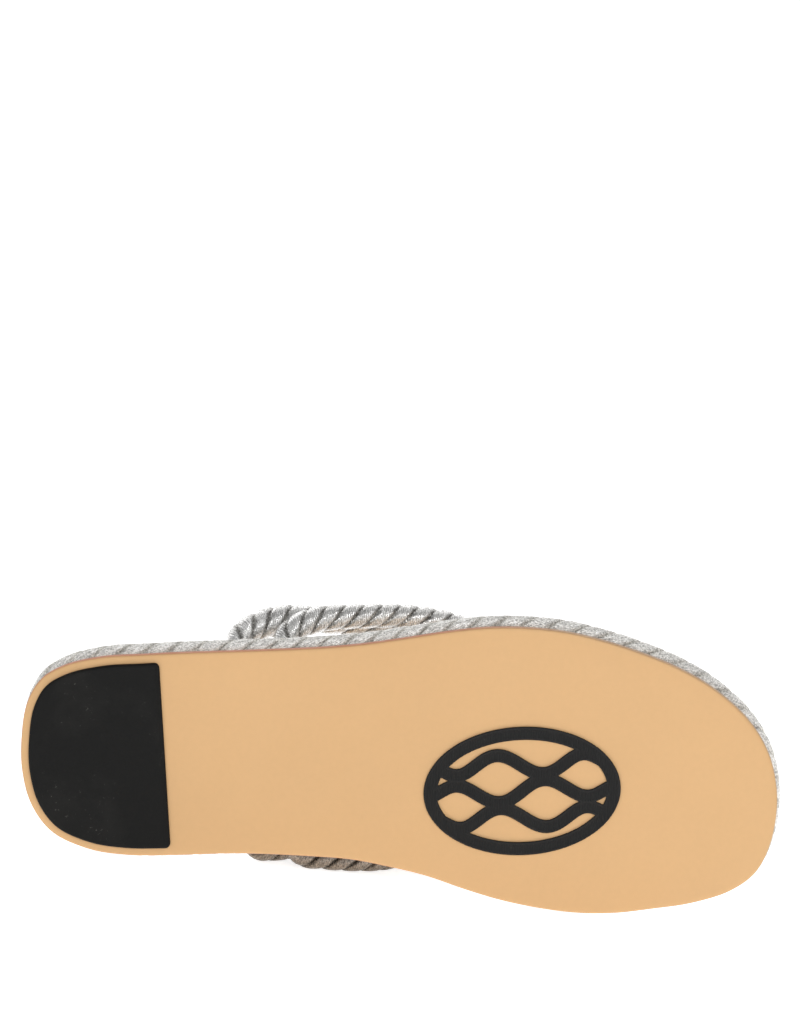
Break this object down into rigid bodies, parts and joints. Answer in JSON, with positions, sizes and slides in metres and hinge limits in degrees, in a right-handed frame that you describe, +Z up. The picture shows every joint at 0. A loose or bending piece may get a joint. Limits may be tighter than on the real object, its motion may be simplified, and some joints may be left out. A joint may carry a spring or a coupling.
{
  "type": "rope sandal",
  "caption": "Flat slip-on sandal for a right foot, leather sole edged with thick twisted metallic rope, crossed rope straps, lying on its inner side.",
  "frame": {"origin": "middle of the bounding box's base, on the floor that the sandal lies on", "axes": "+X from heel to toe, -Y the way that the sole's tread faces, +Z up, which is the sandal's outer side"},
  "size_m": [0.3052, 0.087, 0.1169],
  "materials": {
    "tan_leather": "smooth burnished sole leather",
    "black_rubber": "matt, lightly scuffed",
    "grip_rubber": "matt, finely ribbed",
    "border_rope": "silver metallic thread, three-strand rope",
    "insole_leather": "plain lining leather",
    "strap_rope": "silver metallic thread, three-strand rope"
  },
  "bodies": {
    "root": {"outsole": "tan_leather", "heel_patch": "black_rubber", "grip_insert": "grip_rubber", "rope_border": "border_rope", "footbed": "insole_leather", "upper": "strap_rope"}
  },
  "joints": []
}
